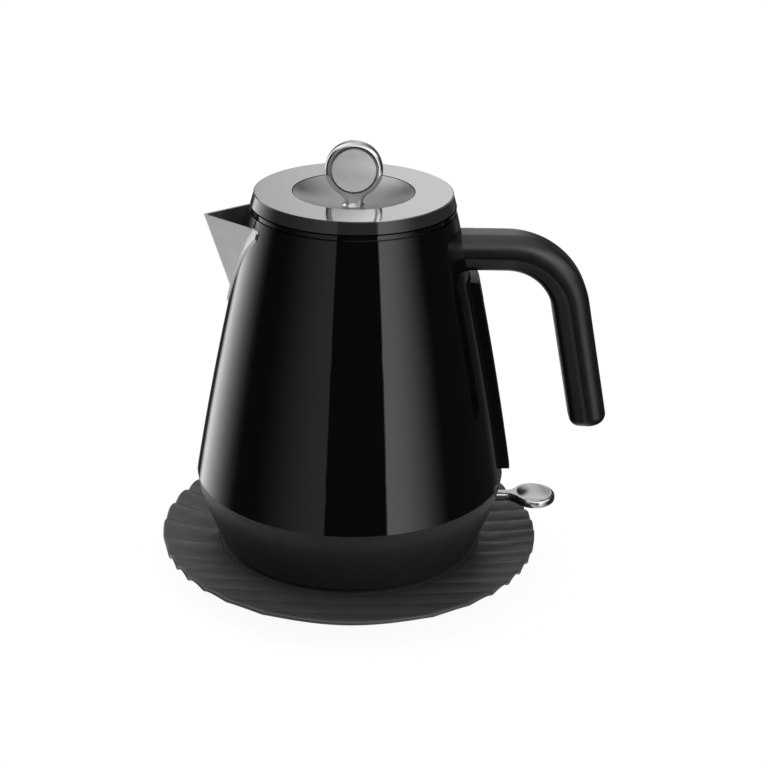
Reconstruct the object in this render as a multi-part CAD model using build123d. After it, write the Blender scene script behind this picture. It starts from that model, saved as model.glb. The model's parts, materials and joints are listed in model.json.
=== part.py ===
from build123d import *
import math
import os

os.makedirs("parts", exist_ok=True)

# All sizes are millimetres. The origin is on the table at the turning axis,
# with +X towards the handle and +Z up.

# Power base
rim_radius = 102.2
rim_mean_z = 16.4
rim_thickness = 2.4
pleat_pitch = 11.5
pleat_height = 1.3
pleat_bend = 0.0027
pleat_fan = 35.0
pleat_fade_start = 52.0
pleat_fade_end = 80.0
pleat_fade_share = 0.75
seat_z = 16.2
seat_radius = 56.0
dip_z = 13.5
dip_radius = 63.0
rim_inner_radius = 71.0
foot_height = 1.2
foot_ring_radius = 62.0
foot_ring_width = 8.0
centre_foot_radius = 12.0
tray_floor = 2.0
tray_wall = 2.0
bush_radius = 3.4
bush_bore_radius = 2.6
base_screw_circle = 44.0
screw_radius = 1.5
screw_head_radius = 3.0
screw_boss_radius = 3.6

# Connector between the base and the kettle
post_radius = 15.6
post_foot_radius = 21.0
post_height = 12.0
core_radius = 10.0
core_height = 18.0
groove_radius = 13.0
contact_wall = 0.8
pin_radius = 2.0
pin_height = 21.0
post_clearance = 0.4
socket_radius = 23.5
socket_wall = 1.6
turning_gap = 0.3

# Kettle body
body_bottom_radius = 82.6
body_bottom_z = 54.0
body_top_radius = 53.0
body_top_z = 199.5
body_bulge = 1.5
body_wall = 0.8
collar_wall = 1.6
collar_foot_radius = body_bottom_radius - 12.1
collar_low_rise = 5.5
collar_low_radius = body_bottom_radius - 10.1
collar_mid_rise = 18.5
collar_mid_radius = body_bottom_radius - 4.9
collar_boss_height = 14.0
collar_rib_height = 12.0
mouth_radius = body_top_radius - 2.6
neck_ring_radius = body_top_radius - 0.2
neck_ring_height = 2.8
neck_groove_height = 0.7
neck_groove_depth = 1.2
cover_thickness = 1.8
cover_screw_circle = collar_foot_radius - 9.5
cover_screw_grip = 10.0

# Heater and control under the floor of the water chamber
heater_thickness = 0.8
seal_thickness = 0.8
seal_width = 4.0
diffuser_radius = body_bottom_radius - 12.6
diffuser_thickness = 2.0
element_circle = diffuser_radius - 12.0
element_radius = 4.0
element_turn = 310.0
housing_radius = 36.0
housing_height = 31.7
bimetal_radius = 9.0
bimetal_thickness = 0.5
stud_radius = 2.5
stud_circle = 29.0
stud_grip = 6.0
strap_width = 5.0
strap_thickness = 1.2
steam_tube_x = 45.0
steam_tube_radius = 4.0
steam_tube_bore = 3.0
steam_tube_top = body_top_z - 13.5
grommet_radius = 6.5
grommet_thickness = 2.0

# Switch lever
pivot_x = collar_foot_radius - 12.5
pivot_z = 36.2
pivot_pin_radius = 2.0
pivot_running_gap = 0.05
lever_width = 6.0
lever_blend = 8.0
paddle_x = body_bottom_radius + 18.2
paddle_radius = 11.7
paddle_thickness = 5.0
paddle_dish_radius = 9.2
paddle_dish_depth = 1.3
paddle_edge_round = 1.9
carrier_length = 20.0
carrier_width = 10.0
carrier_height = 8.0
carrier_tail = 8.0
ear_thickness = 3.0
rocker_x = pivot_x - 15.0
rocker_width = 8.0
rocker_height = 7.0
finger_thickness = 2.0
finger_gap = 0.6

# Spout and filter
spout_tip_x = -body_top_radius - 24.5
spout_tip_z = body_top_z - 4.2
spout_keel_z = body_top_z - 45.9
spout_keel_round = 1.8
spout_corner_x = -body_top_radius + 4.0
spout_corner_y = 24.0
spout_corner_z = body_top_z - 4.5
spout_wall = 1.2
spout_flange_width = 2.8
spout_flange_height = 0.9
spout_flange_round = 2.0
spout_hole_low = body_top_z - 36.5
spout_hole_high = body_top_z - 10.5
filter_x = -body_top_radius + 5.5
filter_half_width = 17.0
filter_low_z = body_top_z - 40.5
filter_high_z = body_top_z - 10.5
filter_border = 2.6
filter_depth = 3.0
mesh_thickness = 0.4
mesh_bar = 0.7
mesh_pitch = 3.4

# Handle
handle_width = 25.0
handle_back_width = 23.0
handle_front_width = 15.0
handle_depth = 19.5
handle_back_round = 8.0
handle_side_round = 8.0
handle_front_round = 6.2
handle_wall = 2.0
handle_z = body_top_z - 21.1
handle_corner_x = body_top_radius + 55.0
handle_bend_radius = 35.0
handle_tip_x = body_top_radius + 74.4
handle_tip_z = handle_z - 96.2
handle_tip_round = 5.6
parting_drop = 0.6
parting_groove_width = 0.5
parting_groove_depth = 0.7
bracket_width = 15.0
bracket_thickness = 3.0
bracket_end_x = body_top_radius + 31.0
handle_screw_x = (body_top_radius + 13.0, body_top_radius + 24.0)

# Water level gauge
gauge_half_width = 11.0
gauge_low_z = body_bottom_z + 4.0
gauge_high_z = body_top_z - 35.5
gauge_height = 4.4
window_half_width = 4.5
window_low_z = gauge_low_z + 12.0
window_high_z = gauge_high_z - 12.0
window_ledge = 1.5
window_back = 0.8
window_front = 3.7

# Lid
lid_gap = 0.7
lid_height = 6.0
lid_low_radius = body_top_radius - 0.4
lid_top_radius = body_top_radius - 2.0
lid_edge = 0.6
lid_sheet = 1.0
dish_radius = 31.5
dish_gap = 0.45
dish_depth = 7.4
plug_radius = mouth_radius - 1.8
plug_wall = 2.5
plug_depth = 18.0
plug_post_radius = 6.0
lid_seal_height = 3.0
lid_seal_rise = 4.0
lid_seal_gap = 0.3
knob_radius = 14.7
knob_rise = 11.3
knob_thickness = 7.6
knob_edge_round = 2.6
knob_blend = 6.0
knob_recess_radius = 11.9
knob_recess_floor = 11.5
knob_recess_depth = 1.8
knob_cap_radius = 11.1
knob_cap_edge = 1.0
knob_cap_rise = 0.6
knob_neck_radius = 4.6
knob_flare_radius = 5.8
knob_flare_height = 1.8
knob_screw_depth = 6.0

BIG = 400.0


def disc(radius, low, high, x=0.0, y=0.0):
    """A round bar standing on the plane low."""
    flat = (Align.CENTER, Align.CENTER, Align.MIN)
    return Pos(x, y, low) * Cylinder(radius, high - low, align=flat)


def tube(outer, inner, low, high, x=0.0, y=0.0):
    """A round bar with a through bore."""
    return disc(outer, low, high, x, y) - disc(inner, low - 1.0, high + 1.0, x, y)


def block(x_pair, y_pair, z_pair):
    """A box between two values on each axis."""
    size = (x_pair[1] - x_pair[0], y_pair[1] - y_pair[0], z_pair[1] - z_pair[0])
    middle = (sum(x_pair) / 2, sum(y_pair) / 2, sum(z_pair) / 2)
    return Pos(*middle) * Box(*size)


def bar_along_y(radius, half_length, x, z):
    """A round bar along Y, centred on the XZ plane."""
    return Pos(x, 0, z) * Rot(90, 0, 0) * Cylinder(radius, 2 * half_length)


def turned(edges):
    """A solid of revolution from a closed outline of radius and height."""
    return revolve(Plane.XZ * make_face(edges), Axis.Z)


def turned_points(*points):
    """A solid of revolution from straight outline points."""
    return turned(Polyline(*points, close=True).edges())


def around(piece, count, start=0.0):
    """Copies of a piece, spaced evenly about Z."""
    return [Rot(0, 0, start + 360.0 * i / count) * piece for i in range(count)]


def joined(pieces):
    """All the given solids fused."""
    result = pieces[0]
    for piece in pieces[1:]:
        result = result + piece
    return result


def keyhole(radius, half_width, length, blend, thickness, edge_round):
    """A flat disc about Z with a bar along -Y, blended at the sides and rounded on both faces."""
    outline = Circle(radius) + Pos(0, -length / 2) * Rectangle(2 * half_width, length)
    inner_corners = [corner for corner in outline.vertices() if -length + 0.1 < corner.Y < -0.1]
    plate = extrude(fillet(inner_corners, blend), amount=thickness / 2, both=True)
    rims = []
    for edge in plate.edges():
        middle = edge.center()
        if abs(middle.Z) > thickness / 2 - 0.01 and middle.Y > -length + 0.01:
            rims.append(edge)
    return fillet(rims, edge_round)


def save(name, piece):
    """Write one node, whose separate solids stay separate."""
    solids = piece if isinstance(piece, list) else piece.solids()
    shape = solids[0] if len(solids) == 1 else Compound(children=list(solids))
    shape.label = name
    export_step(shape, "parts/" + name + ".step")


# The side of the body is one arc, found from its chord and its bulge
chord_x = body_top_radius - body_bottom_radius
chord_z = body_top_z - body_bottom_z
chord = math.hypot(chord_x, chord_z)
sagitta = body_bulge * chord_z / chord
arc_radius = chord * chord / (8.0 * sagitta) + sagitta / 2.0
arc_reach = arc_radius - sagitta
arc_x = (body_top_radius + body_bottom_radius) / 2 - arc_reach * chord_z / chord
arc_z = (body_top_z + body_bottom_z) / 2 + arc_reach * chord_x / chord


def body_radius(z, offset=0.0):
    """Radius of the body's side at a height, moved outwards by offset."""
    return arc_x + math.sqrt((arc_radius + offset) ** 2 - (z - arc_z) ** 2)


def body_arc(low, high, offset=0.0):
    """The body's side between two heights, moved outwards by offset."""
    middle = (low + high) / 2
    return ThreePointArc(
        (body_radius(low, offset), low),
        (body_radius(middle, offset), middle),
        (body_radius(high, offset), high),
    )


def body_band(low, high, inner, outer):
    """A layer that follows the body's side between two offsets."""
    inside = body_arc(low, high, inner)
    outside = body_arc(low, high, outer)
    top = Line(inside @ 1, outside @ 1)
    bottom = Line(inside @ 0, outside @ 0)
    return turned([inside, top, outside, bottom])


def body_filled(low, high, offset=0.0):
    """The body's side closed to the axis."""
    side = body_arc(low, high, offset)
    path = Polyline(side @ 1, (0, high), (0, low), side @ 0)
    return turned([side] + list(path.edges()))


# Power base, seat and tray
seat_low_z = seat_z - rim_thickness
dip_low_z = dip_z - rim_thickness
tray_top = foot_height + tray_floor
post_hole_radius = post_radius + post_clearance
seat_body = turned_points(
    (post_hole_radius, seat_z),
    (seat_radius, seat_z),
    (dip_radius, dip_z),
    (rim_inner_radius, dip_z),
    (rim_inner_radius, dip_low_z),
    (dip_radius - 0.8, dip_low_z),
    (seat_radius - 0.8, seat_low_z),
    (post_hole_radius, seat_low_z),
)
seat_boss = disc(screw_boss_radius, tray_top, seat_z - 1.0, base_screw_circle)
seat_hole = disc(screw_radius, tray_top - 1.0, seat_z - 2.0, base_screw_circle)
base_seat = joined([seat_body] + around(seat_boss, 3, 30.0))
for hole in around(seat_hole, 3, 30.0):
    base_seat = base_seat - hole
save("base_seat", base_seat)

bush_z = (tray_top + dip_low_z) / 2
bush_hole = Pos(0, rim_inner_radius, bush_z) * Rot(90, 0, 0) * Cylinder(bush_radius, 30.0)
base_tray = disc(rim_inner_radius, foot_height, dip_low_z)
base_tray = base_tray - disc(rim_inner_radius - tray_wall, tray_top, dip_low_z + 1.0)
for hole in around(disc(screw_radius, 0.0, tray_top + 1.0, base_screw_circle), 3, 30.0):
    base_tray = base_tray - hole
base_tray = base_tray - bush_hole
save("base_tray", base_tray)

foot_ring = tube(
    foot_ring_radius + foot_ring_width / 2,
    foot_ring_radius - foot_ring_width / 2,
    0.0,
    foot_height,
)
save("base_feet", [foot_ring, disc(centre_foot_radius, 0.0, foot_height)])

base_screw_head = disc(screw_head_radius, 0.3, foot_height, base_screw_circle)
base_screw_shank = disc(screw_radius, foot_height, seat_z - 2.5, base_screw_circle)
base_screw = base_screw_head + base_screw_shank
save("base_screws", around(base_screw, 3, 30.0))

bush_inner_y = rim_inner_radius - tray_wall
bush_y = (bush_inner_y - 2.0, rim_inner_radius + 7.0)


def bar_to_rear(radius, y_pair):
    """A round bar along Y at the height of the cord bush."""
    middle = sum(y_pair) / 2
    return Pos(0, middle, bush_z) * Rot(90, 0, 0) * Cylinder(radius, y_pair[1] - y_pair[0])


cord_bush = bar_to_rear(bush_radius, bush_y) - bar_to_rear(bush_bore_radius, (0.0, BIG))
save("cord_bush", cord_bush)


# Pleated rim of the power base, a shallow cone with ridges along its folds
ridge_rise = 2.0 * pleat_height
ridge_radius = ((pleat_pitch / 2) ** 2 + ridge_rise**2) / (2.0 * ridge_rise)


def fold_point(fold_y, x):
    """The plan point of a fold line at x. Folds run along +X and fan out to the back towards -X."""
    fan = max(1.0 + fold_y / pleat_fan, 0.0)
    return (x, fold_y + pleat_bend * fan * min(x, 0.0) ** 2)


def fold_height(fold_y):
    """Height of a fold's ridge over the rim's cone, which sinks towards the front."""
    fade = (-fold_y - pleat_fade_start) / (pleat_fade_end - pleat_fade_start)
    return pleat_height * (1.0 - pleat_fade_share * min(max(fade, 0.0), 1.0))


def fold_reach(fold_y, radius, side):
    """How far a fold line runs along X to a side before it leaves a circle."""
    low = 0.0
    high = radius
    for step in range(40):
        middle = (low + high) / 2
        if math.hypot(*fold_point(fold_y, side * middle)) < radius:
            low = middle
        else:
            high = middle
    return side * low


def cone_z(radius):
    """Height of the rim's cone at a radius."""
    share = (radius - rim_inner_radius) / (rim_radius - rim_inner_radius)
    return dip_z + (rim_mean_z - dip_z) * share


def rod(start, end, radius, spare):
    """A round bar between two points, with spare length at both ends."""
    start = Vector(*start)
    end = Vector(*end)
    along = (end - start).normalized()
    length = (end - start).length + 2 * spare
    flat = (Align.CENTER, Align.CENTER, Align.MIN)
    return Plane(origin=start - along * spare, z_dir=along) * Cylinder(radius, length, align=flat)


def fold_ridges(fold_y):
    """The ridges of one fold line, one on each flank or one across the front."""
    inner_top = dip_z - ridge_radius
    outer_top = rim_mean_z + fold_height(fold_y) - ridge_radius
    if abs(fold_y) > rim_inner_radius:
        level = cone_z(abs(fold_y)) + fold_height(fold_y) - ridge_radius
        ends = [fold_point(fold_y, fold_reach(fold_y, rim_radius, side)) for side in (1, -1)]
        return [rod((*ends[0], level), (*ends[1], level), ridge_radius, 4.0)]
    rods = []
    for side in (1, -1):
        near = fold_point(fold_y, fold_reach(fold_y, rim_inner_radius, side))
        far = fold_point(fold_y, fold_reach(fold_y, rim_radius, side))
        rods.append(rod((*near, inner_top), (*far, outer_top), ridge_radius, 4.0))
    return rods


rim_cone = turned_points(
    (rim_inner_radius, dip_z),
    (rim_radius, rim_mean_z),
    (rim_radius, rim_mean_z - rim_thickness),
    (rim_inner_radius, dip_low_z),
)
rim_cut = turned_points(
    (rim_inner_radius, 40.0),
    (rim_radius, 40.0),
    (rim_radius, rim_mean_z - rim_thickness),
    (rim_inner_radius, dip_low_z),
)
fold_count = int((rim_radius - pleat_pitch / 2) / pleat_pitch)
ridges = []
for fold in range(-fold_count, fold_count):
    ridges += fold_ridges((fold + 0.5) * pleat_pitch)
base_rim = rim_cone + [ridge & rim_cut for ridge in ridges]
save("base_rim", base_rim)

# Connector post with its contacts
post_top = seat_z + post_height
core_top = seat_z + core_height
groove_floor = seat_z + 2.0
pin_floor = seat_z
base_post = disc(post_foot_radius, tray_top, seat_low_z) + disc(post_radius, tray_top, post_top)
base_post = base_post + disc(core_radius, tray_top, core_top)
base_post = base_post - tube(groove_radius, core_radius, groove_floor, post_top + 1.0)
base_post = base_post - disc(pin_radius, pin_floor, core_top + 1.0)
save("base_post", base_post)
save("base_contact_ring", tube(core_radius + contact_wall, core_radius, groove_floor, post_top))
save("base_centre_pin", disc(pin_radius, pin_floor, seat_z + pin_height))

# Connector socket carried by the kettle
kettle_low_z = seat_z + turning_gap
socket_ceiling = seat_z + pin_height + 1.5
socket_top = socket_ceiling + socket_wall
socket_cup = disc(socket_radius, kettle_low_z, socket_top)
socket_cup = socket_cup - disc(post_hole_radius, kettle_low_z - 1.0, socket_ceiling)
save("socket_cup", socket_cup)
ring_contact_radius = (core_radius + contact_wall + groove_radius) / 2
ring_contact = tube(
    ring_contact_radius + contact_wall / 2,
    ring_contact_radius - contact_wall / 2,
    groove_floor + 1.0,
    socket_ceiling,
)
centre_contact = tube(
    pin_radius + 0.3 + contact_wall,
    pin_radius + 0.3,
    core_top + 0.6,
    socket_ceiling,
)
save("socket_contacts", [ring_contact, centre_contact])

# Spout wedge, whose sides lie on the keel line and the top corners
keel_x = -body_radius(spout_keel_z)
keel_slope = (spout_tip_x - keel_x) / (spout_tip_z - spout_keel_z)
corner_apex = keel_x + keel_slope * (spout_corner_z - spout_keel_z)
wedge_slope = spout_corner_y / (spout_corner_x - corner_apex)
wedge_end_x = -20.0


def wedge(low, high, shift):
    """The V of the spout between two heights, moved along X by shift."""
    sections = []
    for z in (low, high):
        apex = keel_x + keel_slope * (z - spout_keel_z) + shift
        half = wedge_slope * (wedge_end_x - apex)
        outline = Polyline((apex, 0), (wedge_end_x, half), (wedge_end_x, -half), close=True)
        sections.append(Pos(0, 0, z) * make_face(outline.edges()))
    keel = loft(sections, ruled=True)
    return fillet(keel.edges().sort_by(Axis.X)[0], spout_keel_round)


wedge_half_angle = math.atan(wedge_slope)
spout_inset = spout_wall / math.sin(wedge_half_angle)
spout_outset = spout_flange_width / math.sin(wedge_half_angle)
spout_low_z = spout_keel_z - 12.0
body_solid = body_filled(body_bottom_z, body_top_z)
spout_inner = wedge(spout_low_z, spout_tip_z + 2.0, spout_inset)
spout_walls = wedge(spout_low_z, spout_tip_z, 0.0) - body_solid
flange_top = spout_corner_z + 0.4
spout_flange = body_band(spout_low_z, flange_top, 0.0, spout_flange_height)
spout_flange = spout_flange & wedge(spout_low_z, flange_top, -spout_outset)
flange_reach = spout_corner_y + spout_flange_width
flange_block = block((-BIG, 0), (-flange_reach, flange_reach), (0, flange_top))
flange_corners = flange_block.edges().filter_by(Axis.X).group_by(Axis.Z)[-1]
spout_flange = spout_flange & fillet(flange_corners, spout_flange_round)
top_slope = (spout_tip_z - spout_corner_z) / (spout_corner_x - spout_tip_x)
spout_cap = Polyline(
    (spout_tip_x - 20.0, spout_tip_z + 20.0 * top_slope),
    (0.0, spout_tip_z + top_slope * spout_tip_x),
    (0.0, spout_tip_z + 40.0),
    (spout_tip_x - 20.0, spout_tip_z + 40.0),
    close=True,
)
spout_cap = extrude(Plane.XZ * make_face(spout_cap.edges()), amount=60.0, both=True)
spout = spout_walls - spout_cap + spout_flange - spout_inner
save("spout", spout)

# Kettle body shell
shelf_z = body_bottom_z + body_wall
tongue_radius = body_bottom_radius - collar_wall
tongue_low_z = body_bottom_z - 2.5
shell_side = body_arc(body_bottom_z, body_top_z)
shell_inside = body_arc(shelf_z, body_top_z - body_wall, -body_wall)
shell_top = Polyline(
    shell_side @ 1,
    (mouth_radius, body_top_z),
    (mouth_radius, body_top_z - body_wall),
    shell_inside @ 1,
)
shell_foot = Polyline(
    shell_inside @ 0,
    (tongue_radius - body_wall, shelf_z),
    (tongue_radius - body_wall, tongue_low_z),
    (tongue_radius, tongue_low_z),
    (tongue_radius, body_bottom_z),
    shell_side @ 0,
)
body_shell = turned([shell_side, shell_inside] + list(shell_top.edges()) + list(shell_foot.edges()))
spout_hole = wedge(spout_hole_low, spout_hole_high, spout_inset + 1.5)
spout_hole = spout_hole & block((-BIG, 0), (-filter_half_width + 2.5, filter_half_width - 2.5), (0, BIG))
gauge_hole = block(
    (0, BIG),
    (-window_half_width + window_ledge, window_half_width - window_ledge),
    (window_low_z + window_ledge, window_high_z - window_ledge),
)
body_shell = body_shell - spout_hole - gauge_hole
save("body_shell", body_shell)
neck_low_z = body_top_z
neck_high_z = neck_low_z + neck_ring_height
neck_groove_radius = neck_ring_radius - neck_groove_depth
neck_groove = tube(BIG, neck_groove_radius, neck_low_z, neck_low_z + neck_groove_height)
save("neck_ring", tube(neck_ring_radius, mouth_radius, neck_low_z, neck_high_z) - neck_groove)

# Collar with its lever slot and screw bosses
collar_outside = Spline(
    (collar_foot_radius, kettle_low_z),
    (collar_low_radius, kettle_low_z + collar_low_rise),
    (collar_mid_radius, kettle_low_z + collar_mid_rise),
    (body_bottom_radius, body_bottom_z),
)
collar_inside = Spline(
    (collar_foot_radius - collar_wall, kettle_low_z),
    (collar_low_radius - collar_wall, kettle_low_z + collar_low_rise),
    (collar_mid_radius - collar_wall, kettle_low_z + collar_mid_rise),
    (body_bottom_radius - collar_wall, body_bottom_z),
)
collar_foot = Line(collar_inside @ 0, collar_outside @ 0)
collar_head = Line(collar_inside @ 1, collar_outside @ 1)
collar_skin = turned([collar_outside, collar_inside, collar_foot, collar_head])
collar_space = turned(
    [collar_inside]
    + list(
        Polyline(
            collar_inside @ 1, (0, body_bottom_z), (0, kettle_low_z), collar_inside @ 0
        ).edges()
    )
)
cover_top = kettle_low_z + cover_thickness
collar_boss = disc(screw_boss_radius, cover_top, cover_top + collar_boss_height, cover_screw_circle)
collar_rib = block(
    (cover_screw_circle, collar_mid_radius),
    (-1.0, 1.0),
    (cover_top, cover_top + collar_rib_height),
)
collar_boss = (collar_boss + collar_rib) & collar_space
cover_screw_top = cover_top + cover_screw_grip
cover_screw_hole = disc(screw_radius, 0.0, cover_screw_top + 1.0, cover_screw_circle)
lever_slot = block(
    (pivot_x, BIG),
    (-lever_width / 2 - 1.9, lever_width / 2 + 1.9),
    (pivot_z - 6.5, pivot_z + 4.5),
)
collar = joined([collar_skin] + around(collar_boss, 3, 60.0))
collar = collar - disc(tongue_radius, tongue_low_z - 0.3, body_bottom_z + 1.0) - lever_slot
for hole in around(cover_screw_hole, 3, 60.0):
    collar = collar - hole
save("lower_collar", collar)

cover_radius = collar_foot_radius - collar_wall
bottom_cover = tube(cover_radius, socket_radius + turning_gap, kettle_low_z, cover_top)
for hole in around(cover_screw_hole, 3, 60.0):
    bottom_cover = bottom_cover - hole
cover_sink = disc(screw_head_radius, 0.0, kettle_low_z + 1.0, cover_screw_circle)
for hole in around(cover_sink, 3, 60.0):
    bottom_cover = bottom_cover - hole
save("bottom_cover", bottom_cover)
cover_screw = disc(screw_head_radius, kettle_low_z, kettle_low_z + 1.0, cover_screw_circle)
cover_screw = cover_screw + disc(screw_radius, kettle_low_z + 0.5, cover_screw_top, cover_screw_circle)
save("bottom_screws", around(cover_screw, 3, 60.0))

# Heater plate, seal, diffuser and element
seal_top = shelf_z + seal_thickness
floor_z = seal_top + heater_thickness
seal_outer = body_radius(seal_top, -body_wall) - 0.1
diffuser_low = seal_top - diffuser_thickness
tube_hole = disc(steam_tube_radius, 0.0, floor_z + 1.0, steam_tube_x)
save("plate_seal", tube(seal_outer, tongue_radius - body_wall - seal_width, shelf_z, seal_top))
save("heater_plate", disc(seal_outer - 0.3, seal_top, floor_z) - tube_hole)
save("heat_diffuser", disc(diffuser_radius, diffuser_low, seal_top) - tube_hole)
element_section = Pos(element_circle, 0, diffuser_low - element_radius) * Rot(90, 0, 0)
element_profile = element_section * Circle(element_radius)
element_ring = revolve(element_profile, Axis.Z, revolution_arc=element_turn)
element_start = 180.0 + (360.0 - element_turn) / 2
heating_element = Rot(0, 0, element_start) * element_ring
save("heating_element", heating_element)

# Control housing, bimetal disc, studs and straps
housing_low = cover_top
housing_top = housing_low + housing_height
control_housing = disc(housing_radius, housing_low, housing_top)
control_housing = control_housing - disc(socket_radius + turning_gap, 0.0, socket_top + 0.6)
ear_inner = carrier_width / 2 + 0.6
ear_outer = ear_inner + ear_thickness
ear_low = pivot_z - 5.0
ear_high = pivot_z + 5.0
for side in (1, -1):
    ear_y = sorted((side * ear_inner, side * ear_outer))
    control_housing = control_housing + block((30.0, pivot_x + 5.0), ear_y, (ear_low, ear_high))
rocker_space = block(
    (socket_radius + 3.0, housing_radius + 2.0),
    (-ear_inner, ear_inner),
    (pivot_z - 7.0, pivot_z + 7.0),
)
control_housing = control_housing - rocker_space
control_housing = control_housing - bar_along_y(pivot_pin_radius, 30.0, pivot_x, pivot_z)
control_housing = control_housing - bar_along_y(pivot_pin_radius, 30.0, rocker_x, pivot_z)
stud_low = housing_top - stud_grip
stud_hole = disc(stud_radius, stud_low, housing_top + 1.0, stud_circle)
control_housing = control_housing - disc(steam_tube_radius + 0.5, 0.0, BIG, steam_tube_x)
for hole in around(stud_hole, 3, 60.0):
    control_housing = control_housing - hole
save("control_housing", control_housing)
save("bimetal_disc", disc(bimetal_radius, housing_top, housing_top + bimetal_thickness))
stud = disc(stud_radius, stud_low, diffuser_low, stud_circle)
save("control_studs", around(stud, 3, 60.0))
strap_top = diffuser_low - 2 * element_radius
strap = block(
    (housing_radius - 3.0, element_circle + 2.0),
    (-strap_width / 2, strap_width / 2),
    (strap_top - strap_thickness, strap_top),
)
strap_turn = 180.0 - (360.0 - element_turn) / 2 - 4.0
straps = [Rot(0, 0, turn) * strap - control_housing for turn in (strap_turn, -strap_turn)]
save("element_straps", straps)

# Steam tube inside the chamber
steam_tube = tube(
    steam_tube_radius,
    steam_tube_bore,
    diffuser_low - 3.0,
    steam_tube_top,
    steam_tube_x,
)
save("steam_tube", steam_tube)
save(
    "steam_grommet",
    tube(grommet_radius, steam_tube_radius, floor_z, floor_z + grommet_thickness, steam_tube_x),
)

# Switch lever, carrier, pins and trip rocker
pin_half = ear_outer
save("lever_pin", bar_along_y(pivot_pin_radius, pin_half, pivot_x, pivot_z))
save("rocker_pin", bar_along_y(pivot_pin_radius, pin_half, rocker_x, pivot_z))
carrier_x = (pivot_x - carrier_tail, pivot_x - carrier_tail + carrier_length)
neck_start = pivot_x + 6.0
dish_ball = (paddle_dish_radius**2 + paddle_dish_depth**2) / (2.0 * paddle_dish_depth)
dish_ball_z = paddle_thickness / 2 - paddle_dish_depth + dish_ball
lever_blade = keyhole(
    paddle_radius,
    lever_width / 2,
    paddle_x - neck_start,
    lever_blend,
    paddle_thickness,
    paddle_edge_round,
)
switch_lever = Rot(0, 0, -90) * lever_blade - Pos(0, 0, dish_ball_z) * Sphere(dish_ball)
switch_lever = Pos(paddle_x, 0, pivot_z) * switch_lever
save("switch_lever", switch_lever)
finger_end = pivot_x - carrier_tail - 2.0
lever_carrier = block(
    carrier_x,
    (-carrier_width / 2, carrier_width / 2),
    (pivot_z - carrier_height / 2, pivot_z + carrier_height / 2),
)
lever_carrier = lever_carrier + block(
    (finger_end, pivot_x - carrier_tail),
    (-2.5, 2.5),
    (pivot_z - finger_thickness / 2, pivot_z + finger_thickness / 2),
)
bearing_radius = pivot_pin_radius + pivot_running_gap
lever_carrier = lever_carrier - bar_along_y(bearing_radius, 30.0, pivot_x, pivot_z)
lever_carrier = lever_carrier - switch_lever
save("lever_carrier", lever_carrier)
rocker_end = pivot_x - carrier_tail - 1.2
fork_half = finger_thickness / 2 + finger_gap
trip_rocker = block(
    (rocker_x - 5.5, rocker_end),
    (-rocker_width / 2, rocker_width / 2),
    (pivot_z - rocker_height / 2, pivot_z + rocker_height / 2),
)
trip_rocker = trip_rocker - block(
    (finger_end - 1.0, BIG), (-BIG, BIG), (pivot_z - fork_half, pivot_z + fork_half)
)
trip_rocker = trip_rocker - bar_along_y(bearing_radius, 30.0, rocker_x, pivot_z)
save("trip_rocker", trip_rocker)

# Filter behind the spout and its sleeve
sleeve_outer = block(
    (-BIG, filter_x),
    (-filter_half_width, filter_half_width),
    (filter_low_z, filter_high_z),
)
sleeve_inner = block(
    (-BIG, BIG),
    (-filter_half_width + 2.0, filter_half_width - 2.0),
    (filter_low_z + 2.0, filter_high_z - 2.0),
)
body_space = body_filled(shelf_z, body_top_z - body_wall, -body_wall)
filter_sleeve = (sleeve_outer - sleeve_inner) & body_space
save("filter_sleeve", filter_sleeve)
frame_low_x = filter_x + 0.3
frame_high_x = frame_low_x + filter_depth
spigot_half = filter_half_width - 2.4
filter_frame = block(
    (frame_low_x, frame_high_x),
    (-filter_half_width, filter_half_width),
    (filter_low_z, filter_high_z),
)
filter_frame = filter_frame + block(
    (frame_low_x - 3.0, frame_high_x),
    (-spigot_half, spigot_half),
    (filter_low_z + 2.4, filter_high_z - 2.4),
)
window_half = spigot_half - filter_border
window_low = filter_low_z + 2.4 + filter_border
window_high = filter_high_z - 2.4 - filter_border
filter_frame = filter_frame - block(
    (-BIG, BIG), (-window_half, window_half), (window_low, window_high)
)
mesh_x = (frame_low_x + 1.0, frame_low_x + 1.0 + mesh_thickness)
mesh_sheet = block(mesh_x, (-window_half, window_half), (window_low, window_high))
mesh_columns = int((2 * window_half - mesh_bar) / mesh_pitch)
mesh_rows = int((window_high - window_low - mesh_bar) / mesh_pitch)
column_step = (2 * window_half - mesh_bar) / mesh_columns
row_step = (window_high - window_low - mesh_bar) / mesh_rows
mesh_holes = []
for column in range(mesh_columns):
    for row in range(mesh_rows):
        hole_y = -window_half + mesh_bar + column * column_step
        hole_z = window_low + mesh_bar + row * row_step
        mesh_holes.append(
            block(
                (mesh_x[0] - 1.0, mesh_x[1] + 1.0),
                (hole_y, hole_y + column_step - mesh_bar),
                (hole_z, hole_z + row_step - mesh_bar),
            )
        )
save("limescale_filter", filter_frame)
save("filter_mesh", mesh_sheet - mesh_holes)

# Handle, swept and parted along its centre line
handle_start_x = body_top_radius - 6.0
tip_length = math.hypot(handle_tip_x - handle_corner_x, handle_tip_z - handle_z)
tip_dx = (handle_tip_x - handle_corner_x) / tip_length
tip_dz = (handle_tip_z - handle_z) / tip_length


def handle_path(extra):
    """The handle's centre line, with its lower end moved on by extra."""
    return FilletPolyline(
        (handle_start_x, handle_z),
        (handle_corner_x, handle_z),
        (handle_tip_x + extra * tip_dx, handle_tip_z + extra * tip_dz),
        radius=handle_bend_radius,
    )


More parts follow.
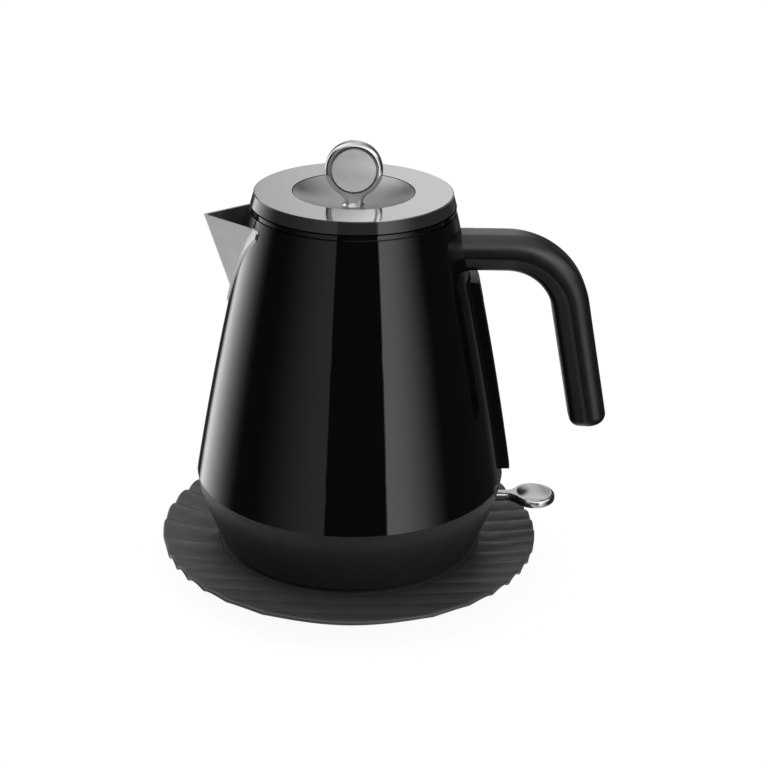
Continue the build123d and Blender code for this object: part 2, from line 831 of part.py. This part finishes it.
def handle_section(shrink):
    """The handle's section, broad at the back and narrow in front, smaller by shrink all round."""
    half_depth = handle_depth / 2 - shrink
    back = handle_back_width / 2 - shrink
    side = handle_width / 2 - shrink
    front = handle_front_width / 2 - shrink / 2
    outline = Polyline(
        (back, half_depth),
        (side, -parting_drop),
        (front, -half_depth),
        (-front, -half_depth),
        (-side, -parting_drop),
        (-back, half_depth),
        close=True,
    )
    section = make_face(outline.edges())
    section = fillet(section.vertices().group_by(Axis.Y)[-1], handle_back_round - shrink)
    section = fillet(section.vertices().group_by(Axis.Y)[0], handle_front_round - shrink)
    sides = [corner for corner in section.vertices() if abs(abs(corner.X) - side) < 0.01]
    return fillet(sides, handle_side_round - shrink)


def handle_sweep(extra, shrink):
    """The handle's section along the centre line."""
    start = Plane(origin=(handle_start_x, 0, handle_z), x_dir=(0, 1, 0), z_dir=(1, 0, 0))
    return sweep(start * handle_section(shrink), path=Plane.XZ * handle_path(extra))


def outside_of_parting(drop):
    """The space on the back of the handle, from a line that runs drop inside the centre line."""
    turn = -drop * (1.0 - tip_dx) / tip_dz
    corner_x = handle_corner_x + drop * tip_dz + turn * tip_dx
    low_x = handle_tip_x + drop * tip_dz + 20.0 * tip_dx
    low_z = handle_tip_z - drop * tip_dx + 20.0 * tip_dz
    line = FilletPolyline(
        (handle_start_x, handle_z - drop),
        (corner_x, handle_z - drop),
        (low_x, low_z),
        radius=handle_bend_radius - drop,
    )
    rest = Polyline(
        (low_x, low_z),
        (BIG, low_z),
        (BIG, BIG),
        (handle_start_x, BIG),
        (handle_start_x, handle_z - drop),
    )
    return extrude(Plane.XZ * make_face(list(line.edges()) + list(rest.edges())), amount=60.0, both=True)


handle_solid = handle_sweep(0.0, 0.0)
tip_face = handle_solid.faces().sort_by(Axis.Z)[0]
handle_solid = fillet(tip_face.edges(), handle_tip_round)
handle_body = handle_solid - handle_sweep(-handle_wall - 1.5, handle_wall) - body_solid
outer_side = outside_of_parting(parting_drop)
half_groove = parting_groove_width / 2
groove_band = outside_of_parting(parting_drop + half_groove) - outside_of_parting(parting_drop - half_groove)
handle_body = handle_body - (groove_band - handle_sweep(-parting_groove_depth, parting_groove_depth))
handle_low = handle_z - handle_depth / 2
boss_low = handle_low + handle_wall - 0.5
bracket_low = handle_z - bracket_thickness / 2
bracket_high = handle_z + bracket_thickness / 2
handle_inner = handle_body - outer_side
handle_outer = handle_body & outer_side
handle_bracket = block(
    (handle_start_x, bracket_end_x),
    (-bracket_width / 2, bracket_width / 2),
    (bracket_low, bracket_high),
)
handle_bracket = handle_bracket - body_solid
handle_screws = []
head_top = handle_low + 1.2
for screw_x in handle_screw_x:
    boss = disc(screw_boss_radius, boss_low, bracket_low, screw_x)
    handle_inner = handle_inner + boss
    handle_inner = handle_inner - disc(screw_radius, 0.0, BIG, screw_x)
    handle_inner = handle_inner - disc(screw_head_radius, 0.0, head_top, screw_x)
    handle_bracket = handle_bracket - disc(screw_radius, 0.0, BIG, screw_x)
    head = disc(screw_head_radius, handle_low, head_top, screw_x)
    handle_screws.append(head + disc(screw_radius, handle_low, bracket_high, screw_x))
save("handle_outer_shell", handle_outer)
save("handle_inner_shell", handle_inner)
save("handle_bracket", handle_bracket)
save("handle_screws", handle_screws)

# Water level gauge
gauge_frame = body_band(gauge_low_z, gauge_high_z, 0.0, gauge_height)
gauge_frame = gauge_frame & block((0, BIG), (-gauge_half_width, gauge_half_width), (0, BIG))
window_space = block(
    (0, BIG), (-window_half_width, window_half_width), (window_low_z, window_high_z)
)
gauge_frame = gauge_frame - window_space
save("gauge_frame", gauge_frame)
gauge_window = body_band(gauge_low_z, gauge_high_z, window_back, window_front) & window_space
save("gauge_window", gauge_window)
gauge_seal = body_band(gauge_low_z, gauge_high_z, 0.0, window_back) & window_space
save("gauge_seal", gauge_seal - gauge_hole)

# Lid
lid_low_z = neck_high_z + lid_gap
lid_top_z = lid_low_z + lid_height
lid_under_z = lid_top_z - lid_sheet
lid_plate_radius = lid_top_radius - lid_edge
save("lid_ring", tube(lid_plate_radius, dish_radius, lid_under_z, lid_top_z))
lid_band = turned_points(
    (lid_low_radius, lid_low_z),
    (lid_top_radius, lid_top_z - lid_edge / 2),
    (lid_plate_radius, lid_top_z - lid_edge / 2),
    (lid_plate_radius, lid_under_z),
    (lid_plate_radius - lid_sheet, lid_under_z),
    (lid_low_radius - lid_sheet - lid_edge, lid_low_z),
)
save("lid_band", lid_band)
dish_curve = (dish_radius**2 + dish_depth**2) / (2.0 * dish_depth)
dish_low_z = lid_top_z - dish_depth


def dish_z(radius):
    """Height of the dish's upper face at a radius."""
    return dish_low_z + dish_curve - math.sqrt(dish_curve**2 - radius**2)


def dish_arc(radius, drop):
    """The dish's arc from the axis to a radius, lowered by drop."""
    return ThreePointArc(
        (0, dish_low_z - drop),
        (radius / 2, dish_z(radius / 2) - drop),
        (radius, dish_z(radius) - drop),
    )


dish_top = dish_arc(dish_radius, 0.0)
dish_under = dish_arc(dish_radius, lid_sheet)
dish_edges = [dish_top, dish_under, Line(dish_top @ 0, dish_under @ 0), Line(dish_top @ 1, dish_under @ 1)]
lid_dish = turned(dish_edges) & disc(dish_radius - dish_gap, 0.0, BIG)
lid_dish = lid_dish - disc(screw_radius, 0.0, BIG)
save("lid_dish", lid_dish)
below_edges = [dish_top] + list(
    Polyline(dish_top @ 1, (dish_radius, dish_low_z - 20), (0, dish_low_z - 20), dish_top @ 0).edges()
)
below_dish = turned(below_edges)

# Knob on the lid, a disc with a domed cap sunk in each face, that runs down into a neck
knob_z = lid_top_z + knob_rise
half_knob = knob_thickness / 2
recess_floor_z = half_knob - knob_recess_depth
knob_recess = turned_points(
    (0, recess_floor_z),
    (knob_recess_floor, recess_floor_z),
    (knob_recess_radius, half_knob),
    (0, half_knob),
)
cap_edge_z = recess_floor_z + knob_cap_edge
cap_dome = ThreePointArc(
    (0, cap_edge_z + knob_cap_rise),
    (knob_cap_radius / 2, cap_edge_z + 0.75 * knob_cap_rise),
    (knob_cap_radius, cap_edge_z),
)
cap_rest = Polyline(
    cap_dome @ 1,
    (knob_cap_radius, recess_floor_z),
    (0, recess_floor_z),
    cap_dome @ 0,
)
knob_cap = turned([cap_dome] + list(cap_rest.edges()))
save("knob_caps", [Pos(0, 0, knob_z) * Rot(turn, 0, 0) * knob_cap for turn in (90, -90)])
knob_disc = keyhole(
    knob_radius,
    knob_neck_radius,
    knob_z - dish_low_z,
    knob_blend,
    knob_thickness,
    knob_edge_round,
)
knob_disc = Rot(90, 0, 0) * (knob_disc - knob_recess - Rot(180, 0, 0) * knob_recess)
flare_foot = dish_arc(knob_flare_radius, 0.0)
flare_side = Polyline(
    flare_foot @ 1,
    (knob_neck_radius - 0.8, dish_low_z + knob_flare_height),
    (0, dish_low_z + knob_flare_height),
    flare_foot @ 0,
)
knob_flare = turned([flare_foot] + list(flare_side.edges()))
knob_screw_top = knob_z - knob_radius + knob_screw_depth
knob_screw_hole = disc(screw_radius, 0.0, knob_screw_top)
lid_knob = Pos(0, 0, knob_z) * knob_disc - below_dish - knob_screw_hole
lid_knob = lid_knob + (knob_flare - knob_screw_hole)
save("lid_knob", lid_knob)

plug_low_z = lid_top_z - plug_depth
plug_floor = plug_low_z + 2.0
plug_post_top = dish_low_z - lid_sheet
lid_plug = disc(plug_radius, plug_low_z, lid_under_z)
lid_plug = lid_plug - tube(plug_radius - plug_wall, plug_post_radius, plug_floor, BIG)
lid_plug = lid_plug - disc(plug_post_radius + 1.0, plug_post_top, BIG)
lid_plug = lid_plug - disc(screw_radius, 0.0, BIG)
save("lid_plug", lid_plug)
lid_seal_low = plug_low_z + lid_seal_rise
save(
    "lid_seal",
    tube(mouth_radius - lid_seal_gap, plug_radius, lid_seal_low, lid_seal_low + lid_seal_height),
)
knob_screw = disc(screw_head_radius, plug_low_z - 1.4, plug_low_z)
knob_screw = knob_screw + disc(screw_radius, plug_low_z, knob_screw_top)
save("knob_screw", knob_screw)
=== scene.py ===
import json
import math

import bpy
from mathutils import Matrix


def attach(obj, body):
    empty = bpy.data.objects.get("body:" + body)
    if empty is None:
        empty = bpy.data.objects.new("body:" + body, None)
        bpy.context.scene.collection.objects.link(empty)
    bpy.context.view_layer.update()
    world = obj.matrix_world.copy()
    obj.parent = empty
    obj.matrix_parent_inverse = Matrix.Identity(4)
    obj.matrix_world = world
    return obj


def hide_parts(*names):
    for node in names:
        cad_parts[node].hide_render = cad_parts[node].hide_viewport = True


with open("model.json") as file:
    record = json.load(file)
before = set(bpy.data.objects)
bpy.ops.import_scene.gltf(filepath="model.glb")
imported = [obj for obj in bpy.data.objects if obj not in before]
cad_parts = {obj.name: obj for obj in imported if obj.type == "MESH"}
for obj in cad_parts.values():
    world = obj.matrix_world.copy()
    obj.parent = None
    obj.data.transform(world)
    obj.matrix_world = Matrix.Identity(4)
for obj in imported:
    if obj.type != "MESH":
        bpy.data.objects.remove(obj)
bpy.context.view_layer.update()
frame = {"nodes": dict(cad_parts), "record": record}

# Sizes of the pleated rim in metres, as in the solids
MM = 0.001
rim_radius = 102.2 * MM
rim_inner_radius = 71.0 * MM
rim_mean_z = 16.4 * MM
rim_thickness = 2.4 * MM
dip_z = 13.5 * MM
pleat_pitch = 11.5 * MM
pleat_height = 1.3 * MM
pleat_bend = 0.0027 / MM
pleat_fan = 35.0 * MM
pleat_fade_start = 52.0 * MM
pleat_fade_end = 80.0 * MM
pleat_fade_share = 0.75
rim_rings = 44
rim_spokes = 1440
under_ring_step = 4
lip_round_steps = 6

# Camera, fitted to the outlines of the photograph
camera_place = (0.0, -0.848, 0.47375)
camera_pitch = 23.7
camera_roll = 0.82
camera_lens = 81.36
camera_sensor = 36.0
camera_shift = 0.043
camera_reach = 50.0

# Studio light around the object, by compass angle in degrees from the front, -Y, towards +X
studio_shade = 0.04
back_brightness = 0.42

# Brightness of each soft panel, where it starts and is full, and where it ends and is still full
soft_panels = {
    "left": (2.6, (-153.0, -141.0), (-90.0, -142.0)),
    "front_left": (0.44, (-76.0, -18.0), (-16.8, -17.8)),
    "right": (2.0, (26.2, 27.6), (78.0, 30.0)),
    "back_right": (0.09, (130.0, 146.0), (163.0, 146.0)),
}

# Light from above, a key panel at the front right and light from below, by a direction's Z, X or compass
overhead_brightness = 1.3
overhead_lean = 0.9
overhead_start = 0.50
overhead_full = 0.80
key_brightness = 2.0
key_low = (0.24, 0.36)
key_high = (0.75, 0.60)
key_left = (-25.0, 5.0)
key_right = (110.0, 80.0)
under_start = -0.42
under_full = -0.60
under_dark = 0.05
under_bright = 1.2
under_lean = (-0.1, -0.7)

# White backdrop that metal mirrors, and the pale floor
backdrop_span = (165.0, 170.0)
backdrop_dim = 0.62
backdrop_lean = (-0.10, 0.05)
floor_radius = 0.17
floor_clear_radius = 0.11
floor_sides = 96
floor_glow = 0.94
floor_colour = 0.06

# Grain and gloss of the materials, with scales in waves per metre
noise_span = (0.3, 0.7)
cloud_scale = 60.0
cloud_detail = 4.0
plastic_gloss_scale = 180.0
metal_gloss_scale = 120.0
grain_detail = 2.0
grain_strength = 0.25
mark_scale = 900.0
mark_detail = 5.0
mark_strength = 0.1

white = (1.0, 1.0, 1.0, 1.0)

# Sockets of a Mix node that mixes colours
mix_from = 6
mix_to = 7
mix_result = 2


def add_node(tree, kind, **settings):
    """A new node with its plain settings and input values."""
    node = tree.nodes.new(kind)
    for key, value in settings.items():
        if key in node.inputs:
            node.inputs[key].default_value = value
        else:
            setattr(node, key, value)
    return node


def math_node(tree, operation, *values):
    """A Math node whose inputs are numbers or sockets."""
    node = tree.nodes.new("ShaderNodeMath")
    node.operation = operation
    for slot, value in zip(node.inputs, values):
        if isinstance(value, (int, float)):
            slot.default_value = value
        else:
            tree.links.new(value, slot)
    return node.outputs[0]


def smooth_step(tree, value, start, full):
    """A smooth rise from 0 at start to 1 at full."""
    node = add_node(tree, "ShaderNodeMapRange", interpolation_type="SMOOTHSTEP")
    node.inputs["From Min"].default_value = start
    node.inputs["From Max"].default_value = full
    tree.links.new(value, node.inputs["Value"])
    return node.outputs[0]


def mixed(tree, share, low, high):
    """Brightness that goes from low to high with share."""
    rise = math_node(tree, "SUBTRACT", high, low)
    return math_node(tree, "MULTIPLY_ADD", rise, share, low)


# White world behind the object, and a studio of soft panels around it
world = bpy.data.worlds.new("studio")
bpy.context.scene.world = world
world.use_nodes = True
tree = world.node_tree
tree.nodes.clear()
direction = add_node(tree, "ShaderNodeTexCoord").outputs["Generated"]
axes = add_node(tree, "ShaderNodeSeparateXYZ")
tree.links.new(direction, axes.inputs[0])
front = math_node(tree, "MULTIPLY", axes.outputs["Y"], -1.0)
compass = math_node(tree, "ARCTAN2", axes.outputs["X"], front)
compass = math_node(tree, "DEGREES", compass)
behind = smooth_step(tree, math_node(tree, "ABSOLUTE", compass), *backdrop_span)
light = math_node(tree, "MULTIPLY_ADD", behind, back_brightness, studio_shade)
for brightness, start, end in soft_panels.values():
    panel = math_node(tree, "MULTIPLY", smooth_step(tree, compass, *start), smooth_step(tree, compass, *end))
    light = math_node(tree, "MULTIPLY_ADD", panel, brightness, light)
height = smooth_step(tree, axes.outputs["Z"], overhead_start, overhead_full)
overhead = math_node(tree, "MULTIPLY_ADD", axes.outputs["X"], -overhead_lean, 1.0)
overhead = math_node(tree, "MULTIPLY", overhead, overhead_brightness)
light = mixed(tree, height, light, overhead)
key = smooth_step(tree, axes.outputs["Z"], *key_low)
for value, span in ((axes.outputs["Z"], key_high), (compass, key_left), (compass, key_right)):
    key = math_node(tree, "MULTIPLY", key, smooth_step(tree, value, *span))
light = math_node(tree, "MULTIPLY_ADD", key, key_brightness, light)
under = smooth_step(tree, axes.outputs["X"], *under_lean)
under = math_node(tree, "MULTIPLY_ADD", under, under_bright, under_dark)
depth = smooth_step(tree, axes.outputs["Z"], under_start, under_full)
studio = add_node(tree, "ShaderNodeBackground", Color=white)
tree.links.new(mixed(tree, depth, light, under), studio.inputs["Strength"])
rays = add_node(tree, "ShaderNodeLightPath")
lean = smooth_step(tree, axes.outputs["X"], *backdrop_lean)
lean = math_node(tree, "MULTIPLY_ADD", lean, 1.0 - backdrop_dim, backdrop_dim)
backdrop = add_node(tree, "ShaderNodeBackground", Color=white)
tree.links.new(math_node(tree, "MAXIMUM", lean, rays.outputs["Is Camera Ray"]), backdrop.inputs["Strength"])
mirrored = math_node(tree, "MAXIMUM", rays.outputs["Is Glossy Ray"], rays.outputs["Is Transmission Ray"])
mirrored = math_node(tree, "MULTIPLY", mirrored, behind)
seen = math_node(tree, "MAXIMUM", rays.outputs["Is Camera Ray"], mirrored)
chosen = add_node(tree, "ShaderNodeMixShader")
tree.links.new(seen, chosen.inputs[0])
tree.links.new(studio.outputs[0], chosen.inputs[1])
tree.links.new(backdrop.outputs[0], chosen.inputs[2])
world_output = add_node(tree, "ShaderNodeOutputWorld")
tree.links.new(chosen.outputs[0], world_output.inputs["Surface"])

# Camera
camera_data = bpy.data.cameras.new("camera")
camera = bpy.data.objects.new("camera", camera_data)
bpy.context.scene.collection.objects.link(camera)
camera.location = camera_place
camera.rotation_mode = "XYZ"
camera.rotation_euler = (math.radians(90.0 - camera_pitch), 0.0, 0.0)
camera.rotation_euler.rotate_axis("Z", math.radians(camera_roll))
camera_data.lens = camera_lens
camera_data.sensor_width = camera_sensor
camera_data.shift_x = camera_shift
camera_data.clip_end = camera_reach
bpy.context.scene.camera = camera
bpy.context.scene.view_settings.view_transform = "Standard"


# Materials
def new_material(name):
    """An empty node material with a Principled shader."""
    made = bpy.data.materials.new(name)
    made.use_nodes = True
    return made, made.node_tree, made.node_tree.nodes["Principled BSDF"]


def noise_at(tree, scale, detail=cloud_detail):
    """Noise in object space, with scale in waves per metre."""
    place = add_node(tree, "ShaderNodeTexCoord").outputs["Object"]
    noise = add_node(tree, "ShaderNodeTexNoise", Scale=scale, Detail=detail)
    tree.links.new(place, noise.inputs["Vector"])
    return noise.outputs["Fac"]


def ranged(tree, value, low, high):
    """Map noise about its middle to a range of values."""
    node = add_node(tree, "ShaderNodeMapRange")
    node.inputs["From Min"].default_value = noise_span[0]
    node.inputs["From Max"].default_value = noise_span[1]
    node.inputs["To Min"].default_value = low
    node.inputs["To Max"].default_value = high
    tree.links.new(value, node.inputs["Value"])
    return node.outputs[0]


def add_bump(tree, shader, value, strength, distance):
    """Bump from a height value."""
    bump = add_node(tree, "ShaderNodeBump", Strength=strength, Distance=distance)
    tree.links.new(value, bump.inputs["Height"])
    tree.links.new(bump.outputs[0], shader.inputs["Normal"])


def tinted(tree, value, dark, light):
    """A colour between two greys or tints, by a value."""
    mix = add_node(tree, "ShaderNodeMix", data_type="RGBA")
    mix.inputs[mix_from].default_value = (*dark, 1.0)
    mix.inputs[mix_to].default_value = (*light, 1.0)
    tree.links.new(value, mix.inputs[0])
    return mix.outputs[mix_result]


def plastic(name, dark, light, rough, grain_scale, grain_depth, specular=0.5):
    """Moulded plastic or paint with fine grain and slightly uneven gloss."""
    made, tree, shader = new_material(name)
    shader.inputs["Specular IOR Level"].default_value = specular
    cloud = noise_at(tree, cloud_scale)
    tree.links.new(tinted(tree, cloud, dark, light), shader.inputs["Base Color"])
    tree.links.new(ranged(tree, noise_at(tree, plastic_gloss_scale), *rough), shader.inputs["Roughness"])
    add_bump(tree, shader, noise_at(tree, grain_scale, grain_detail), grain_strength, grain_depth)
    return made


def metal(name, dark, light, rough, depth=0.01 * MM):
    """Bare metal with fine finishing marks."""
    made, tree, shader = new_material(name)
    shader.inputs["Metallic"].default_value = 1.0
    marks = noise_at(tree, mark_scale, mark_detail)
    tree.links.new(tinted(tree, marks, dark, light), shader.inputs["Base Color"])
    tree.links.new(ranged(tree, noise_at(tree, metal_gloss_scale), *rough), shader.inputs["Roughness"])
    add_bump(tree, shader, marks, mark_strength, depth)
    return made


def grey(level):
    """One grey as red, green and blue."""
    return (level, level, level)


looks = {
    "base_plastic": plastic("base_plastic", grey(0.027), grey(0.035), (0.42, 0.55), 2200.0, 0.08 * MM),
    "inner_plastic": plastic("inner_plastic", grey(0.018), grey(0.026), (0.4, 0.55), 1500.0, 0.06 * MM),
    "rubber": plastic("rubber", grey(0.015), grey(0.022), (0.7, 0.85), 1800.0, 0.1 * MM),
    "screw_steel": metal("screw_steel", grey(0.42), grey(0.55), (0.25, 0.4)),
    "contact_brass": metal("contact_brass", (0.6, 0.43, 0.18), (0.72, 0.54, 0.25), (0.2, 0.35)),
    "body_paint": plastic("body_paint", grey(0.0008), grey(0.0014), (0.03, 0.045), 350.0, 0.002 * MM),
    "collar_plastic": plastic(
        "collar_plastic", grey(0.012), grey(0.016), (0.38, 0.5), 2600.0, 0.05 * MM, specular=0.25
    ),
    "satin_steel": metal("satin_steel", grey(0.30), grey(0.33), (0.30, 0.36), depth=0.002 * MM),
    "aluminium": metal("aluminium", grey(0.5), grey(0.6), (0.35, 0.5)),
    "polished_steel": metal("polished_steel", grey(0.46), grey(0.49), (0.07, 0.10), depth=0.001 * MM),
    "gauge_plastic": plastic(
        "gauge_plastic", grey(0.001), grey(0.002), (0.30, 0.40), 900.0, 0.01 * MM, specular=0.1
    ),
    "window_plastic": plastic("window_plastic", grey(0.006), grey(0.010), (0.04, 0.08), 500.0, 0.004 * MM),
    "handle_plastic": plastic("handle_plastic", grey(0.003), grey(0.004), (0.32, 0.40), 2400.0, 0.03 * MM),
    "chrome": metal("chrome", grey(0.70), grey(0.74), (0.10, 0.14), depth=0.001 * MM),
}
own_looks = {
    "spout": metal("spout_steel", grey(0.38), grey(0.42), (0.30, 0.36), depth=0.002 * MM),
    "switch_lever": metal("lever_chrome", grey(0.40), grey(0.44), (0.12, 0.16), depth=0.001 * MM),
    "lid_knob": metal("knob_chrome", grey(0.44), grey(0.48), (0.18, 0.24), depth=0.001 * MM),
    "knob_caps": metal("knob_cap_steel", grey(0.88), grey(0.92), (0.42, 0.48), depth=0.001 * MM),
    "lid_band": plastic("lid_paint", grey(0.016), grey(0.022), (0.06, 0.09), 350.0, 0.003 * MM),
}
slot_of = {part["node"]: part["material_slot"] for part in frame["record"]["subparts"]}
for node_name, node in frame["nodes"].items():
    node.data.materials.clear()
    node.data.materials.append(own_looks.get(node_name, looks[slot_of[node_name]]))


# Pleated rim, a fine mesh of the folds that the solid shows as ridges
def ridge_height(fold_y):
    """Height across one fold, from -1 in the crease to 1 on the ridge."""
    rise = 2.0 * pleat_height
    curve = ((pleat_pitch / 2) ** 2 + rise**2) / (2.0 * rise)
    across = (fold_y / pleat_pitch - math.floor(fold_y / pleat_pitch) - 0.5) * pleat_pitch
    return 2.0 * (math.sqrt(curve**2 - across**2) - (curve - rise)) / rise - 1.0


def fold_line(x, y):
    """Where the fold line through a plan point crosses X = 0. The lines fan out towards -X."""
    if y < -pleat_fan:
        return y
    bend = pleat_bend * min(x, 0.0) ** 2
    return (y - bend) / (1.0 + bend / pleat_fan)


def rim_top(x, y):
    """Height of the rim's upper face over a plan point."""
    radius = math.hypot(x, y)
    share = (radius - rim_inner_radius) / (rim_radius - rim_inner_radius)
    share = min(max(share, 0.0), 1.0)
    fold_y = fold_line(x, y)
    fade = (-fold_y - pleat_fade_start) / (pleat_fade_end - pleat_fade_start)
    fade = pleat_fade_share * min(max(fade, 0.0), 1.0)
    swell = pleat_height * share * (2.0 - share) * (1.0 - fade)
    return dip_z + (rim_mean_z - dip_z) * share + swell * ridge_height(fold_y)


def rim_section():
    """Radius and drop below the upper face, around the rim's section."""
    lip = rim_thickness / 2
    points = []
    for ring in range(rim_rings + 1):
        share = ring / rim_rings
        points.append((rim_inner_radius + (rim_radius - lip - rim_inner_radius) * share, 0.0))
    for step in range(1, lip_round_steps):
        turn = math.pi * step / lip_round_steps
        points.append((rim_radius - lip + lip * math.sin(turn), lip - lip * math.cos(turn)))
    for ring in range(rim_rings, -1, -under_ring_step):
        share = ring / rim_rings
        points.append((rim_inner_radius + (rim_radius - lip - rim_inner_radius) * share, rim_thickness))
    return points


def ring_mesh(name, section, height_at):
    """A closed ring mesh from a section, whose heights come from height_at."""
    points = []
    faces = []
    count = len(section)
    for spoke in range(rim_spokes):
        turn = 2.0 * math.pi * spoke / rim_spokes
        for radius, drop in section:
            x = radius * math.cos(turn)
            y = radius * math.sin(turn)
            points.append((x, y, height_at(x, y) - drop))
    for spoke in range(rim_spokes):
        here = spoke * count
        after = ((spoke + 1) % rim_spokes) * count
        for step in range(count):
            following = (step + 1) % count
            faces.append((here + step, after + step, after + following, here + following))
    mesh = bpy.data.meshes.new(name)
    mesh.from_pydata(points, [], faces)
    mesh.shade_smooth()
    piece = bpy.data.objects.new(name, mesh)
    bpy.context.scene.collection.objects.link(piece)
    return piece


pleated_rim = ring_mesh("pleated_rim", rim_section(), rim_top)
pleated_rim.data.materials.append(looks["base_plastic"])
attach(pleated_rim, "power_base")
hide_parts("base_rim")

# Pale floor, which glows white for the camera and keeps the shadow
floor_mesh = bpy.data.meshes.new("floor")
floor_edge = []
for step in range(floor_sides):
    turn = 2.0 * math.pi * step / floor_sides
    floor_edge.append((floor_radius * math.cos(turn), floor_radius * math.sin(turn), 0.0))
floor_mesh.from_pydata(floor_edge, [], [range(floor_sides)])
floor = bpy.data.objects.new("floor", floor_mesh)
bpy.context.scene.collection.objects.link(floor)
floor_material, tree, shader = new_material("floor")
shader.inputs["Base Color"].default_value = (*grey(floor_colour), 1.0)
shader.inputs["Roughness"].default_value = 1.0
shader.inputs["Specular IOR Level"].default_value = 0.0
shader.inputs["Emission Color"].default_value = white
rays = add_node(tree, "ShaderNodeLightPath")
seen = math_node(tree, "MAXIMUM", rays.outputs["Is Camera Ray"], rays.outputs["Is Glossy Ray"])
seen = math_node(tree, "MAXIMUM", seen, rays.outputs["Is Transmission Ray"])
tree.links.new(math_node(tree, "MULTIPLY", seen, floor_glow), shader.inputs["Emission Strength"])
floor_place = add_node(tree, "ShaderNodeTexCoord").outputs["Object"]
from_middle = add_node(tree, "ShaderNodeVectorMath", operation="LENGTH")
tree.links.new(floor_place, from_middle.inputs[0])
opaque = smooth_step(tree, from_middle.outputs["Value"], floor_radius, floor_clear_radius)
tree.links.new(opaque, shader.inputs["Alpha"])
floor.data.materials.append(floor_material)
